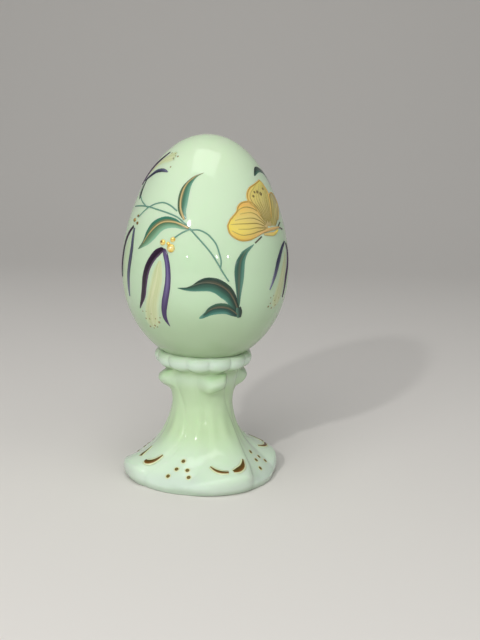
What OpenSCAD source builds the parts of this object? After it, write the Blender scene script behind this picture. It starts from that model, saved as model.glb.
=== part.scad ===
// Hand-painted art glass egg resting in the cup of a pressed glass pedestal foot.
// Z is up and the foot stands on z = 0. Azimuth 0 faces -Y and grows towards +X.

/* [Egg] */
// Half of the egg's height
egg_half = 31.5; // [28:0.5:35]
// Height of the egg's middle above the table
egg_mid = 63.5; // [63.5:0.5:66]
// Radius at the egg's middle
egg_belly = 22.7; // [19:0.1:23]
// How far the egg narrows towards its top
egg_taper = 0.16; // [0:0.01:0.18]
// Thickness of the egg's glass
egg_wall = 2.6; // [2:0.1:4]
// Radius of the vent hole under the egg
vent_r = 1.5; // [1:0.1:2]

/* [Pedestal] */
// Azimuth of the first of the four lobes
lobe_az = 28; // [0:1:89]
// Gap between the egg and its cup
seat_gap = 0.15; // [0.1:0.01:0.3]
// Inner radius of the flat ring that the foot stands on
ring_r = 17.5; // [16:0.1:18]
// Number of scalloped beads round the rim
bead_count = 13; // [8:1:16]
// How far the scroll tips lean to one side
scroll_lean = 0.8; // [0:0.1:1.4]

/* [Enamel] */
// Height of the fired enamel's underside above the glass
enamel_gap = 0.08; // [0.05:0.01:0.1]
// Thickness of the fired enamel
enamel_t = 0.18; // [0.12:0.01:0.25]
// Thickness of the gilding on the foot
gilt_t = 0.12; // [0.08:0.01:0.2]
// Radius of the raised gold buds
bud_r = 0.8; // [0.5:0.05:1]

/* [Hidden] */

glass = [0.76, 0.88, 0.72];
purple = [0.27, 0.18, 0.36];
cream = [0.80, 0.82, 0.62];
green = [0.14, 0.36, 0.30];
gold = [0.85, 0.68, 0.30];
brown_gold = [0.45, 0.28, 0.10];
yellow = [0.88, 0.76, 0.36];

around = 104;     // columns round the pedestal
row_steps = 2;    // rows between two of its profile's points
cup_steps = 9;
egg_steps = 40;
nominal_half = 31.5;   // the egg that the painted heights are given for
nominal_mid = 63.5;
egg_blunt = 0.01;      // second and third order terms of the egg's outline
egg_point = 0.074;
layer_2 = enamel_t + 0.06;   // enamel laid over a first coat

lobes = 4;
skew = 0.4;             // how much steeper a lobe is on its right
crease_left = 0.6;      // depth of the crease on a lobe's left, as a share of the right one
left_shift = 20;        // how much further the left crease lies from its lobe, 90 being a panel's middle
crease_sharp = 2.2;
scroll_row = 13.7;      // row of the profile at the middle of the scroll tips
scroll_reach = 3;
scroll_flat = 1.8;      // above 1 the scrolls keep their full shape over several rows
scroll_pinch = 1.8;     // how much narrower a lobe is at its scroll
bead_az = 10;           // azimuth between two beads of the rim
bead_row = 16.8;
bead_reach = 1.6;
bead_lift = 0.6;        // how far the underside of the rim rises between beads
bead_round = 0.94;      // 1 makes the beads full half circles
flute_count = 16;
flute_az = -4;
flute_row = 8.3;
flute_reach = 2.6;
flute_depth = 0.13;

// Each row: radius and height on a lobe, radius and height on a panel between lobes, depth of the
// crease that parts them, depth of the notch between two beads, turn of the lobes at that height.
profile = [
    [21.1, 0.0, 20.7, 0.0, 0.3, 0, -5], [22.0, 1.3, 20.9, 0.8, 0.5, 0, -5], [22.4, 3.0, 21.0, 1.7, 0.7, 0, -5],
    [22.2, 4.8, 20.4, 2.4, 0.8, 0, -4], [20.9, 5.7, 19.4, 3.4, 0.9, 0, -2], [18.9, 6.7, 17.7, 4.9, 0.9, 0, 2],
    [16.2, 8.2, 15.2, 6.9, 0.8, 0, 7], [13.5, 10.5, 12.7, 9.6, 0.6, 0, 12], [11.1, 13.3, 10.7, 12.9, 0.45, 0, 16],
    [9.6, 16.6, 9.3, 16.4, 0.3, 0, 14], [8.8, 20.2, 8.6, 20.1, 0.25, 0, 7], [8.8, 23.1, 8.7, 22.7, 0.3, 0, 0],
    [9.5, 25.2, 9.1, 24.9, 0.35, 0, -4], [11.8, 26.7, 9.5, 26.6, 0.5, 0, -7], [12.8, 28.3, 9.8, 28.3, 0.4, 0, -7],
    [12.2, 29.8, 10.0, 29.8, 0.3, 0, -7], [10.5, 30.8, 10.3, 30.9, 0.1, 0.1, -7], [12.6, 32.1, 12.6, 32.1, 0, 0.5, 0],
    [13.4, 33.3, 13.4, 33.3, 0, 1.0, 0], [13.6, 34.5, 13.6, 34.5, 0, 1.0, 0], [13.1, 35.4, 13.1, 35.4, 0, 0.7, 0],
    [12.5, 35.7, 12.5, 35.7, 0, 0.1, 0]];

// --- curves and surfaces ---
function unit(v) = v / norm(v);
function mix(a, b, t) = a * (1 - t) + b * t;
function spline(p, x) =
    let(i = min(floor(x), len(p) - 2), t = x - i,
        a = p[max(i - 1, 0)], b = p[i], c = p[i + 1], d = p[min(i + 2, len(p) - 1)])
    0.5 * (2 * b + (c - a) * t + (2 * a - 5 * b + 4 * c - d) * t * t
           + (3 * b - a - 3 * c + d) * t * t * t);
function curve(p, n) = [for (i = [0:n]) spline(p, i * (len(p) - 1) / n)];

function egg_rad(z) =
    let(u = (z - egg_mid) / egg_half)
    egg_belly * sqrt(max(0, 1 - u * u)) * (1 - egg_taper * u + egg_blunt * u * u + egg_point * u * u * u);
function egg_slope(z) = (egg_rad(z + 0.02) - egg_rad(z - 0.02)) / 0.04;
// p is [azimuth, height on the nominal egg]
function egg_at(p, lift) =
    let(z = egg_mid + (p[1] - nominal_mid) * egg_half / nominal_half,
        r = egg_rad(z), out = unit([sin(p[0]), -cos(p[0]), -egg_slope(z)]))
    [r * sin(p[0]), -r * cos(p[0]), z] + out * lift;

function near(s, row, reach) = max(0, 1 - abs(s - row) / reach);
function stand_raw(az, s) =
    let(row = spline(profile, s),
        even = lobes * (az - lobe_az - row[6]),
        on_scroll = min(1, scroll_flat * near(s, scroll_row, scroll_reach)),
        swing = even - skew * (1 - on_scroll) * cos(even) * 180 / PI, c = cos(swing),
        lobed = pow(pow((1 + c) / 2, 2) * (2 - c), 1 + scroll_pinch * on_scroll),
        right = (1 + sin(swing)) / 2,
        crease = pow(1 - abs(c), crease_sharp) * right
            + pow(1 - abs(cos(swing + left_shift)), crease_sharp) * crease_left * (1 - right),
        turns = (az - bead_az) / 360 * bead_count,
        x = 2 * (turns - floor(turns)) - 1,
        notch = 1 - sqrt(1 - bead_round * x * x),
        flute = near(s, flute_row, flute_reach) * cos(flute_count * (az - flute_az)),
        r = mix(row[2], row[0], lobed) - row[4] * crease - row[5] * notch + flute_depth * flute,
        z = mix(row[3], row[1], lobed) + bead_lift * near(s, bead_row, bead_reach) * x * x
            + scroll_lean * on_scroll * lobed * sin(swing))
    [r * sin(az), -r * cos(az), z];
function stand_at(p, lift) =
    let(out = unit(cross(stand_raw(p[0] + 0.5, p[1]) - stand_raw(p[0] - 0.5, p[1]),
                         stand_raw(p[0], p[1] + 0.05) - stand_raw(p[0], p[1] - 0.05))))
    stand_raw(p[0], p[1]) + out * lift;

// --- thin coats that follow a surface ---
// under and over are equal grids of points, the coat's two faces
module coat(under, over) {
    rows = len(under);
    cols = len(under[0]);
    count = rows * cols;
    edge = concat([for (j = [0:cols - 1]) j],
                  [for (i = [1:rows - 1]) i * cols + cols - 1],
                  [for (j = [cols - 2:-1:0]) (rows - 1) * cols + j],
                  [for (i = [rows - 2:-1:1]) i * cols]);
    n = len(edge);
    faces = concat(
        [for (i = [0:rows - 2], j = [0:cols - 2], k = [0, 1]) let(a = i * cols + j)
            k == 0 ? [a, a + cols + 1, a + 1] : [a, a + cols, a + cols + 1]],
        [for (i = [0:rows - 2], j = [0:cols - 2], k = [0, 1]) let(a = count + i * cols + j)
            k == 0 ? [a, a + 1, a + cols + 1] : [a, a + cols + 1, a + cols]],
        [for (i = [0:n - 1], k = [0, 1]) let(a = edge[i], b = edge[(i + 1) % n])
            k == 0 ? [a, b, count + b] : [a, count + b, count + a]]);
    polyhedron([each [for (row = under) each row], each [for (row = over) each row]], faces, 4);
}

// A brush stroke on the egg along points of [azimuth, height, width]
module stroke(points, steps, shift = 0, layer = 0) {
    c = curve(points, steps);
    at = function (i, lift) egg_at([c[i][0] + shift, c[i][1]], lift);
    side = function (i)
        let(a = at(max(i - 1, 0), 0), b = at(min(i + 1, steps), 0),
            out = at(i, 1) - at(i, 0))
        unit(cross(b - a, out)) * max(c[i][2], 0.2) / 2;
    face = function (lift) [for (i = [0:steps]) [at(i, lift) + side(i), at(i, lift) - side(i)]];
    coat(face(enamel_gap + layer), face(enamel_gap + layer + enamel_t));
}

// A brush-filled patch of the egg between two edges of [azimuth, height] points
module patch(left, right, steps, across = 4, shift = 0, layer = 0) {
    lo = 0.03;
    place = function (t, u)
        let(l = spline(left, t * (len(left) - 1)), r = spline(right, t * (len(right) - 1)))
        mix(l, r, u) + [shift, 0];
    mid = egg_at(place(0.5, 0), 0);
    facing = cross(egg_at(place(0.52, 0), 0) - mid, egg_at(place(0.5, 1), 0) - mid)
             * (egg_at(place(0.5, 0), 1) - mid);
    at = function (t, u) facing > 0 ? place(t, u) : place(t, 1 - u);
    face = function (lift)
        [for (i = [0:steps]) let(t = lo + (1 - 2 * lo) * i / steps)
            [for (j = [0:across]) egg_at(at(t, j / across), lift)]];
    coat(face(enamel_gap + layer), face(enamel_gap + layer + enamel_t));
}

// A raised drop of enamel on the egg
module drop(p, r) {
    at = egg_at(p, enamel_gap);
    out = egg_at(p, enamel_gap + 1) - at;
    turn = atan2(out[1], out[0]);
    translate(at) rotate([0, acos(out[2]), turn])
        rotate_extrude($fn = 24)
            polygon([[0, 0], [r, 0], [0.87 * r, 0.36 * r], [0.5 * r, 0.62 * r], [0, 0.72 * r]]);
}

// A gilt crescent on the foot along points of [azimuth, place on the profile, width]
module crescent(points, shift) {
    steps = 7;
    gap = 0.16;
    c = curve(points, steps);
    at = function (i, lift) stand_at([c[i][0] + shift, c[i][1]], lift);
    side = function (i)
        let(a = at(max(i - 1, 0), 0), b = at(min(i + 1, steps), 0),
            out = at(i, 1) - at(i, 0))
        unit(cross(b - a, out)) * max(c[i][2], 0.2) / 2;
    face = function (lift)
        [for (i = [0:steps]) [at(i, lift) + side(i), at(i, lift), at(i, lift) - side(i)]];
    coat(face(gap), face(gap + gilt_t));
}

// --- the pedestal and its gilding ---
module pedestal_skin() {
    last = (len(profile) - 1) * row_steps;
    rings = [for (k = [0:last]) [for (j = [0:around - 1])
        stand_raw(bead_az + j * 360 / around, k / row_steps)]];
    top = last * around;
    faces = concat(
        [[for (j = [0:around - 1]) j]],
        [[for (j = [around - 1:-1:0]) top + j]],
        [for (k = [0:last - 1], j = [0:around - 1], h = [0, 1])
            let(a = k * around + j, b = k * around + (j + 1) % around)
            h == 0 ? [a, a + around, b + around] : [a, b + around, b]]);
    polyhedron([for (ring = rings) each ring], faces, 6);
}

module cup_cut() {
    top = 37;    // above the rim
    base = egg_mid - egg_half;
    side = [for (i = [1:cup_steps]) let(z = base + (top - base) * pow(i / cup_steps, 2))
        [egg_rad(z) + seat_gap, z - seat_gap]];
    rotate_extrude($fn = around)
        polygon(concat([[0, base - seat_gap]], side, [[side[cup_steps - 1][0], top + 1], [0, top + 1]]));
}

module underside_cut() {
    rotate_extrude($fn = around)
        polygon([[0, -1], [ring_r, -1], [ring_r, 0], [16.6, 1.6], [13.2, 3.8], [9.2, 6.5],
                 [5.6, 11.6], [3.4, 16], [0, 18]]);
}

module pedestal() {
    color(glass) difference() {
        pedestal_skin();
        cup_cut();
        underside_cut();
    }
}

// gilt crescents left and right of a lobe's middle: spread wide, or set close together
wide_left = [[-17, 5.6, 0.25], [-13, 5.05, 0.8], [-9, 4.65, 1.05], [-4, 4.45, 0.8]];
wide_right = [[0, 4.5, 0.8], [4.5, 4.6, 1.8], [10.5, 5.0, 1.5], [16.5, 5.75, 0.25]];
close_left = [[-3.5, 6.4, 0.25], [-2.5, 5.9, 0.6], [-1, 5.4, 1.0], [0.5, 5.1, 0.8]];
close_right = [[11, 4.95, 0.9], [14, 4.85, 1.5], [18, 5.2, 1.2], [22.5, 6.1, 0.25]];
module foot_crescents() {
    color(brown_gold) {
        for (k = [0:lobes - 2]) {
            crescent(wide_left, lobe_az + 90 * k);
            crescent(wide_right, lobe_az + 90 * k);
        }
        crescent(close_left, lobe_az - 90);
        crescent(close_right, lobe_az - 90);
    }
}

dot_places = [[0, 6.2], [-4, 5.4], [6.5, 5.4], [-9, 4.45], [9, 4.5]];
module foot_dots() {
    dot_r = 0.55;
    gap = 0.12;
    valley = lobe_az - 45;
    color(brown_gold) for (k = [0:lobes - 1], d = dot_places) {
        p = [valley + 90 * k + d[0], d[1]];
        at = stand_at(p, gap);
        out = stand_at(p, gap + 1) - at;
        translate(at) rotate([0, acos(out[2]), atan2(out[1], out[0])])
            rotate_extrude($fn = 16) polygon([[0, 0], [dot_r, 0], [0.7 * dot_r, gilt_t], [0, 1.4 * gilt_t]]);
    }
}

// --- the egg's glass ---
module egg_shell() {
    low = egg_mid - egg_half;
    function outline(inset) = [for (i = [0:egg_steps]) let(u = -cos(180 * i / egg_steps),
        z = egg_mid + egg_half * u, r = egg_rad(z))
        [i == 0 || i == egg_steps ? 0 : r * (1 - inset / egg_belly), egg_mid + (z - egg_mid) * (1 - inset / egg_half)]];
    color(glass) difference() {
        rotate_extrude($fn = around) polygon(outline(0));
        rotate_extrude($fn = around) polygon(outline(egg_wall));
        translate([0, 0, low - 1]) cylinder(h = egg_wall + 3, r = vent_r, $fn = 32);
    }
}

// --- the lady's slipper blossoms: two twisted petals over a pouch ---
dark_l = [[-28, 66.7], [-33.5, 65.7], [-37.6, 63.8], [-41, 61.4], [-43.3, 58.4], [-44.4, 55.4], [-46.8, 52.2],
          [-50.8, 49]];
dark_r = [[-25.2, 66], [-28.8, 64.5], [-32.6, 62.9], [-36, 60.6], [-38, 58], [-39.4, 55.4], [-42, 52.4],
          [-50, 49]];
violet_l = [[-26.8, 64.5], [-25.3, 62.6], [-24.5, 60.1], [-24.8, 57.5], [-26.2, 54.8], [-27.8, 52.4],
            [-28.8, 49.9], [-28.2, 47.6], [-24, 45.4]];
violet_r = [[-23, 64.8], [-21.2, 62], [-20.4, 59.3], [-20.6, 56.6], [-21.7, 54.1], [-23.2, 51.7],
            [-24.6, 49.5], [-24.8, 47.6], [-23.5, 45.4]];
module petals(shift) {
    color(purple) {
        patch(dark_l, dark_r, 12, 3, shift, layer_2);
        patch(violet_l, violet_r, 12, 3, shift, layer_2);
    }
}
module petals_front() { petals(0); }

pouch_l = [[-29.3, 63.6], [-34, 60], [-36.2, 57], [-38.7, 54], [-42.2, 50.8], [-45.4, 48], [-46.6, 45.8],
           [-44.4, 44.5]];
pouch_r = [[-28, 63.9], [-25.9, 61], [-25.4, 57.5], [-27, 54.5], [-28.7, 51.4], [-30, 48.4], [-31.2, 46.2],
           [-34, 45]];
module pouch_front() { color(cream) patch(pouch_l, pouch_r, 10); }

module petals_left() {
    color(purple) {
        stroke([[-61.5, 70.6, 0.6], [-66.5, 69, 1], [-70.5, 67, 1.1], [-73, 64, 1.1], [-74.5, 60, 1],
                [-75, 56.5, 0.2]], 10, 0, layer_2);
        stroke([[-59.2, 69.8, 0.6], [-58.6, 67.5, 1], [-57.7, 65, 1.3], [-58.3, 62, 1.5], [-59.9, 58.5, 1.5],
                [-60.6, 55.3, 1.1], [-61.3, 52, 0.2]], 12, 0, layer_2);
    }
}
module pouch_left() {
    color(cream) patch([[-62, 69], [-70, 64], [-73, 58], [-76, 53], [-74, 50]],
                       [[-61, 69], [-60, 64], [-62, 58], [-64, 53], [-68, 50]], 8);
}

module petals_upper() {
    color(purple) {
        stroke([[-84, 81, 0.4], [-81, 83.4, 0.8], [-75, 86, 0.9], [-68, 88, 0.8], [-60, 90, 0.2]], 8, 0, layer_2);
        stroke([[-76, 82.3, 0.4], [-68, 83.6, 0.9], [-57, 84.9, 1.2], [-48, 85.4, 1.2], [-43, 85.2, 0.8],
                [-39.8, 84.5, 0.2]], 10, 0, layer_2);
    }
}
module pouch_upper() {
    color(cream) patch([[-78, 83.6], [-72, 86.4], [-64, 88.6], [-50, 90.6], [-42, 90]],
                       [[-76, 83], [-66, 85.6], [-58, 86.6], [-46, 87.2], [-40, 88.2]], 8);
}

module petals_right() {
    color(purple) {
        stroke([[73, 67.3, 0.5], [66, 65.8, 1.1], [59.5, 62.8, 1.6], [54.6, 59, 1.2], [50, 55.5, 0.2]], 9, 0, layer_2);
        stroke([[76, 66.8, 0.5], [78, 64.5, 0.9], [76, 61, 1.3], [72, 57.5, 1.2], [70.4, 52.4, 0.2]], 9, 0, layer_2);
    }
}
module pouch_right() {
    color(cream) patch([[72, 65.5], [63, 61], [58, 57], [53.5, 53], [56, 50.2]],
                       [[73, 65.5], [72.5, 61], [70.5, 57], [69, 53], [64, 50.2]], 8);
}

back_turns = [150, 220];    // turns from the front blossom to its two fellows at the back
module petals_back() { for (turn = back_turns) petals(turn); }
module pouch_back() {
    color(cream) for (turn = back_turns) patch(pouch_l, pouch_r, 8, 4, turn);
}

// --- leaves ---
upright_l = [[-14.6, 73.4], [-19.4, 75.3], [-21.6, 77.4], [-22.1, 79.6], [-20.6, 81.6], [-16.4, 83.2],
             [-10.6, 84.5], [0, 85.6]];
upright_r = [[-11.6, 73.5], [-13, 75.4], [-12.5, 77.6], [-12.1, 79.8], [-11.6, 81.7], [-10, 83.2],
             [-6.5, 84.5], [0, 85.5]];
module leaf_upright() { color(green) patch(upright_l, upright_r, 9); }

module leaf_drooping() {
    color(green) patch(
        [[-9.2, 71.7], [-16.4, 73.1], [-21, 74], [-28.5, 74.4], [-36, 73.6], [-41.3, 72.2], [-44.3, 70],
         [-46, 67.5], [-50.6, 65]],
        [[-9, 71.3], [-14.9, 71.2], [-20.7, 71.4], [-26.6, 71], [-30.6, 70], [-34.6, 68.2], [-39.6, 66.6],
         [-45, 65.7], [-50.4, 64.9]], 11);
}

module leaf_tall() {
    color(green) {
        patch([[24.3, 52.6], [23, 54.3], [21.8, 56.7], [20.8, 59], [20.4, 61.3], [21.5, 63.5], [23.9, 64.9],
               [27.2, 66.3], [37.4, 68.1]],
              [[26.1, 52.4], [26.2, 54], [26.9, 56.6], [27.8, 58.9], [28.4, 61.2], [29, 63.7], [30.6, 65.3],
               [33.6, 66.6], [37.6, 68]], 10, 4, 0, layer_2);
        stroke([[38.6, 68.4, 0.3], [40.8, 68.9, 0.3], [43.6, 69.5, 0.2]], 3);
    }
}

long_l = [[26.9, 49.8], [25.4, 52], [22.8, 54.9], [19.5, 57], [15.7, 58.3], [11.3, 59.3], [7, 59.7], [2.1, 59.6],
          [-2.1, 58.8], [-5.6, 57.6], [-9.3, 56.8], [-16.9, 56.5]];
long_r = [[25.8, 49.3], [22.5, 50.4], [18.9, 51.7], [15.6, 53.1], [12, 54.1], [8.7, 55.1], [4.6, 55.7],
          [-0.5, 55.7], [-6.2, 55.6], [-10.5, 55.8], [-13.5, 56.1], [-16.9, 56.4]];
module leaf_long() { color(green) patch(long_l, long_r, 12); }

module leaf_short() {
    color(green) patch([[27.3, 49.3], [23.9, 51], [19.6, 52.3], [14.9, 52.9], [9.7, 52.8], [5, 51.8], [1.9, 50.2],
                        [-2, 48.7]],
                       [[26.8, 48.6], [20.5, 49.2], [16.4, 49.7], [11.7, 49.7], [7, 49.4], [3.6, 48.9],
                        [1, 48.5], [-1.6, 48.4]], 9, 3, 0, layer_2);
}

module leaf_edge() {
    color(green) {
        patch([[53.5, 84.7], [60, 86.4], [67, 87], [76, 86.6], [86, 85], [96, 81]],
              [[53.7, 84.4], [60, 84.9], [67, 85.3], [76, 85], [86, 83.7], [95, 80.6]], 8, 3);
        patch([[-66, 78], [-68.5, 79.6], [-70.5, 81.2], [-72, 83.4]],
              [[-68, 77.2], [-74, 78.6], [-76.5, 80.6], [-73, 83.4]], 6, 3);
    }
}

module leaves_back() {
    color(green) {
        patch(long_l, long_r, 9, 4, 146);
        patch(upright_l, upright_r, 7, 4, 165);
        patch(upright_l, upright_r, 7, 4, 250);
    }
}

// --- stems, buds and the butterfly ---
stem_w = 0.32;
// A stem of even width through [azimuth, height] points
module stem(points, steps, shift = 0) {
    color(green) stroke([for (p = points) [p[0], p[1], stem_w]], steps, shift, layer_2);
}
module stems_upper() {
    stem([[-15.5, 73.5], [-27, 75], [-36.6, 75.6], [-48.4, 76.1], [-60, 76], [-72, 75.5]], 12);
    stem([[-20.4, 75.7], [-26.5, 76.9], [-33.1, 77.5], [-39.5, 77.2], [-46, 76.6]], 8);
    stem([[-50.4, 75.4], [-55.4, 74.1], [-57.6, 73.7]], 4);
}
module stems_lower() {
    stem([[-9, 70.9], [-3.8, 69.5], [1.3, 67.5], [5.5, 65.6], [9.3, 63.4], [13.4, 60.7], [17.2, 58.5]], 12);
    stem([[-7.6, 71.5], [-3.2, 71.4], [2.2, 70.5], [5.6, 69.4], [8.8, 67.8], [11.1, 65.2], [12.2, 63.5],
          [12.4, 62.4]], 12);
    stem([[-10.6, 70.8], [-14.7, 70.2], [-17.8, 69.4]], 4);
}
module stems_back() {
    for (turn = back_turns) stem([[-15, 70.4], [-8, 70.3], [-2, 69], [10, 63], [16, 60.4]], 10, turn);
}

// buds of the front blossom: azimuth, height, share of the full size
front_buds = [[-28, 67.7, 0.9], [-20.8, 68.7, 0.75], [-21.5, 66.3, 1.1], [-23.8, 67.6, 0.45]];
left_buds = [[-59.8, 72.8, 0.5], [-62.6, 72.1, 0.55], [-57, 71.6, 0.5]];
module buds(list, turn = 0) {
    color(gold) for (b = list) drop([b[0] + turn, b[1]], bud_r * b[2]);
}
module buds_front() { buds(front_buds); }
module buds_left() { buds(left_buds); }
module buds_back() { for (turn = back_turns) buds(front_buds, turn); }

module butterfly_forewing() {
    color(yellow) patch(
        [[51, 72.7], [47.2, 74.9], [43.4, 77], [38.6, 78.5], [37.8, 80], [41, 81.6], [49.9, 82.6], [58.2, 83.4]],
        [[56, 71.9], [58.7, 74.4], [61, 76.4], [63.5, 78.4], [65.2, 80.2], [63.8, 81.5], [61.3, 82.8], [58.8, 83.4]],
        10);
}
module butterfly_hindwing() {
    color(yellow) patch(
        [[49.5, 71.9], [43.9, 74.1], [40.1, 75.9], [35.6, 77.6], [30.4, 78], [26.5, 77.2], [24.6, 75.8], [19.6, 74.1],
         [17.3, 72.6]],
        [[52, 71.2], [44.3, 70.4], [39.3, 69.7], [33.1, 68.9], [26.1, 68.8], [20.8, 69.7], [18.2, 70.7],
         [17.4, 71.6], [17.2, 72.2]], 10);
}
module butterfly_far_wing() {
    color(yellow) patch([[60.5, 73.2], [62.5, 75], [64.7, 76.8], [66.6, 78.6], [68.5, 79.7]],
                        [[62, 72.6], [68.5, 73.2], [76, 75.4], [82, 77.4], [76, 79.9]], 8, 3);
}
module butterfly_body() {
    color(yellow) {
        stroke([[38, 69.6, 0.3], [44.4, 70.5, 0.9], [51, 71, 1.2], [58.8, 71.2, 1.1], [64.4, 71.3, 0.7]], 8, 0, layer_2);
        stroke([[66, 71.7, 0.25], [68.5, 72.1, 0.25], [71.2, 72.5, 0.2]], 3, 0, layer_2);
        stroke([[66, 71, 0.25], [69.5, 70.8, 0.25], [73, 70.5, 0.2]], 3, 0, layer_2);
    }
}

pedestal();
foot_crescents();
foot_dots();
egg_shell();
petals_front();
pouch_front();
petals_left();
pouch_left();
petals_upper();
pouch_upper();
petals_right();
pouch_right();
petals_back();
pouch_back();
leaf_upright();
leaf_drooping();
leaf_tall();
leaf_long();
leaf_short();
leaf_edge();
leaves_back();
stems_upper();
stems_lower();
stems_back();
buds_front();
buds_left();
buds_back();
butterfly_forewing();
butterfly_hindwing();
butterfly_far_wing();
butterfly_body();
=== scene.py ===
import math

import bpy
from mathutils import Matrix, Vector, noise


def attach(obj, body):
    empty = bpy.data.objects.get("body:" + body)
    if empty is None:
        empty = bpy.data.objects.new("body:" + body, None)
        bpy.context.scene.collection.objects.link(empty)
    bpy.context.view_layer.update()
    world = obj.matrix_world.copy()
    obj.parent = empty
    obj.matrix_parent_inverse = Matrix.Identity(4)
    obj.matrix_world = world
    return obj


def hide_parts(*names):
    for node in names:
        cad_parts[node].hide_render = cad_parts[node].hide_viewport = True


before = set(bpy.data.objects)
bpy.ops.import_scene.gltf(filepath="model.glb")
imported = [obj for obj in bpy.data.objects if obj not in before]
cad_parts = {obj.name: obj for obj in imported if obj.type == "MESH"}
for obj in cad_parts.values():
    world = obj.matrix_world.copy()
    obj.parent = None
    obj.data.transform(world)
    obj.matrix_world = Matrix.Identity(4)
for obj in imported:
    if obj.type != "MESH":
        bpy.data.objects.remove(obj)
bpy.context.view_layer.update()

mm = 0.001


def deselectAll():
    if bpy.context.object and bpy.context.object.mode != "OBJECT":
        bpy.ops.object.mode_set(mode="OBJECT")
    bpy.ops.object.select_all(action="DESELECT")


def pick(obj):
    deselectAll()
    obj.select_set(True)
    bpy.context.view_layer.objects.active = obj


def spline(points, x):
    # smooth curve through a list of equal-length tuples, x counts points
    i = min(int(x), len(points) - 2)
    t = x - i
    a, b = points[max(i - 1, 0)], points[i]
    c, d = points[i + 1], points[min(i + 2, len(points) - 1)]
    return [0.5 * (2 * q + (r - p) * t + (2 * p - 5 * q + 4 * r - s) * t * t
                   + (3 * q - p - 3 * r + s) * t ** 3) for p, q, r, s in zip(a, b, c, d)]


def along(points, t):
    return spline(points, t * (len(points) - 1))


def blend(a, b, t):
    return [p + (q - p) * t for p, q in zip(a, b)]


def ink(hexColour):
    # linear colour of a swatch
    channels = [int(hexColour[i:i + 2], 16) / 255 for i in (0, 2, 4)]
    return [c / 12.92 if c <= 0.04045 else ((c + 0.055) / 1.055) ** 2.4 for c in channels] + [1]


def weld(obj, gap=0.002 * mm):
    pick(obj)
    bpy.ops.object.mode_set(mode="EDIT")
    bpy.ops.mesh.select_all(action="SELECT")
    bpy.ops.mesh.remove_doubles(threshold=gap)
    bpy.ops.mesh.normals_make_consistent(inside=False)
    bpy.ops.object.mode_set(mode="OBJECT")


def thicken(obj, thickness):
    pick(obj)
    wall = obj.modifiers.new("wall", "SOLIDIFY")
    wall.thickness = thickness
    wall.offset = -1  # the wall grows inwards
    bpy.ops.object.modifier_apply(modifier=wall.name)


def joinUp(name, parts):
    deselectAll()
    for part in parts:
        part.select_set(True)
    bpy.context.view_layer.objects.active = parts[0]
    if len(parts) > 1:
        bpy.ops.object.join()
    piece = bpy.context.object
    piece.name = name
    piece.data.name = name
    return piece


def settle(piece, body, slot, *nodes):
    pick(piece)
    bpy.ops.object.shade_smooth()
    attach(piece, body)
    if nodes:
        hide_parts(*nodes)


egg = {"half": 31.5, "middle": 63.5, "belly": 22.7, "taper": 0.16, "fullness": 0.01, "crown": 0.074,
       "wall": 2.6, "vent": 1.5, "ventZone": 2, "columns": 128, "rings": 96}


def eggRadius(height):
    u = (height - egg["middle"]) / egg["half"]
    lean = 1 - egg["taper"] * u + egg["fullness"] * u * u + egg["crown"] * u ** 3
    return egg["belly"] * math.sqrt(max(0, 1 - u * u)) * lean


def onEgg(place, lift=0.0):
    azimuth, height = math.radians(place[0]), place[1]
    nudge = 0.02
    slope = (eggRadius(height + nudge) - eggRadius(height - nudge)) / (2 * nudge)
    radius = eggRadius(height)
    out = Vector((math.sin(azimuth), -math.cos(azimuth), -slope)).normalized()
    return Vector((radius * math.sin(azimuth), -radius * math.cos(azimuth), height)) + out * lift


stand = {"lobeAzimuth": 28, "skew": 0.4, "creaseRight": 1.0, "creaseLeft": 0.8, "leftShift": 0.35,
         "creaseSharp": 2.2, "lobes": 4,
         "lean": 0.8, "scrollRow": 13.7, "scrollReach": 3, "scrollFlat": 1.8, "scrollPinch": 1.8,
         "beads": 13, "beadAzimuth": 10, "beadLift": 0.6, "beadRow": 16.8, "beadReach": 1.6,
         "beadFull": 0.94,
         "flutes": 16, "fluteAzimuth": -4, "fluteDepth": 0.13, "fluteRow": 8.3, "fluteReach": 2.6,
         "columns": 260, "rowSteps": 5, "underSteps": 3, "cupSteps": 14, "cupTop": 35.8, "seatGap": 0.03,
         "pole": 0.02}

# radius and height on a lobe, the same on a panel between lobes,
# crease depth, bead notch depth, drift of the lobes in degrees
standRows = [(21.1, 0.0, 20.7, 0.0, 0.3, 0, -5), (22.0, 1.3, 20.9, 0.8, 0.5, 0, -5),
             (22.4, 3.0, 21.0, 1.7, 0.7, 0, -5), (22.2, 4.8, 20.4, 2.4, 0.8, 0, -4),
             (20.9, 5.7, 19.4, 3.4, 0.9, 0, -2), (18.9, 6.7, 17.7, 4.9, 0.9, 0, 2),
             (16.2, 8.2, 15.2, 6.9, 0.8, 0, 7), (13.5, 10.5, 12.7, 9.6, 0.6, 0, 12),
             (11.1, 13.3, 10.7, 12.9, 0.45, 0, 16), (9.6, 16.6, 9.3, 16.4, 0.3, 0, 14),
             (8.8, 20.2, 8.6, 20.1, 0.25, 0, 7), (8.8, 23.1, 8.7, 22.7, 0.3, 0, 0),
             (9.5, 25.2, 9.1, 24.9, 0.35, 0, -4), (11.8, 26.7, 9.5, 26.6, 0.5, 0, -7),
             (12.8, 28.3, 9.8, 28.3, 0.4, 0, -7), (12.2, 29.8, 10.0, 29.8, 0.3, 0, -7),
             (10.5, 30.8, 10.3, 30.9, 0.1, 0.1, -7), (12.6, 32.1, 12.6, 32.1, 0, 0.5, 0),
             (13.4, 33.3, 13.4, 33.3, 0, 1.0, 0), (13.6, 34.5, 13.6, 34.5, 0, 1.0, 0),
             (13.1, 35.5, 13.1, 35.5, 0, 0.7, 0), (12.0, 35.9, 12.0, 35.9, 0, 0.1, 0)]


def near(s, row, reach):
    return max(0, 1 - abs(s - row) / reach)


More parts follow.
